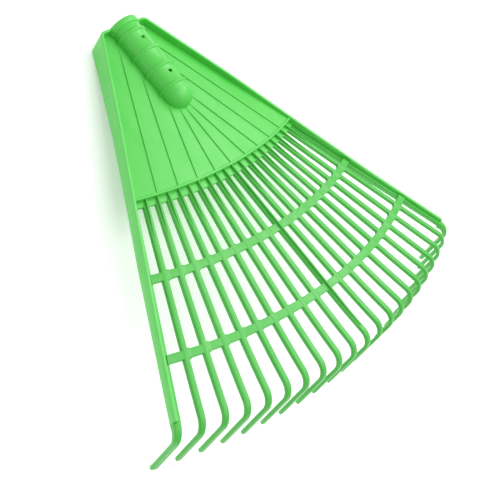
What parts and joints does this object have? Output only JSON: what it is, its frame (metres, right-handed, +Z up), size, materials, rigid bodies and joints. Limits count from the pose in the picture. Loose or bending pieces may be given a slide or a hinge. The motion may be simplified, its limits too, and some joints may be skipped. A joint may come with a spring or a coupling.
{
  "type": "lawn rake head",
  "caption": "Fan-shaped plastic lawn rake head with bent tines, two crossbars, side flanges, a ribbed panel and a ringed socket for a round handle.",
  "frame": {"origin": "middle of the bounding box at floor level, with the head lying on the rear corners of its side flanges and its two outer tine tips", "axes": "+X across the fan of tines, +Y towards the socket's mouth, opposite to the way the tines point, +Z up"},
  "size_m": [0.435, 0.3984, 0.0863],
  "materials": {
    "green_plastic": "bright green moulded polypropylene with a satin surface"
  },
  "bodies": {
    "root": {"arc_rim": "green_plastic", "inner_crossbar": "green_plastic", "outer_crossbar": "green_plastic", "panel": "green_plastic", "panel_rib_01": "green_plastic", "panel_rib_02": "green_plastic", "panel_rib_03": "green_plastic", "panel_rib_04": "green_plastic", "panel_rib_05": "green_plastic", "panel_rib_06": "green_plastic", "panel_rib_07": "green_plastic", "panel_rib_08": "green_plastic", "panel_rib_09": "green_plastic", "rear_wall_left": "green_plastic", "rear_wall_right": "green_plastic", "root_web": "green_plastic", "side_rail_left": "green_plastic", "side_rail_right": "green_plastic", "socket_barrel": "green_plastic", "spine_rib": "green_plastic", "tine_01": "green_plastic", "tine_02": "green_plastic", "tine_03": "green_plastic", "tine_04": "green_plastic", "tine_05": "green_plastic", "tine_06": "green_plastic", "tine_07": "green_plastic", "tine_08": "green_plastic", "tine_09": "green_plastic", "tine_10": "green_plastic", "tine_11": "green_plastic", "tine_12": "green_plastic", "tine_13": "green_plastic", "tine_14": "green_plastic", "tine_15": "green_plastic", "tine_16": "green_plastic", "tine_17": "green_plastic", "tine_18": "green_plastic", "tine_19": "green_plastic", "tine_20": "green_plastic", "tine_21": "green_plastic"}
  },
  "joints": []
}
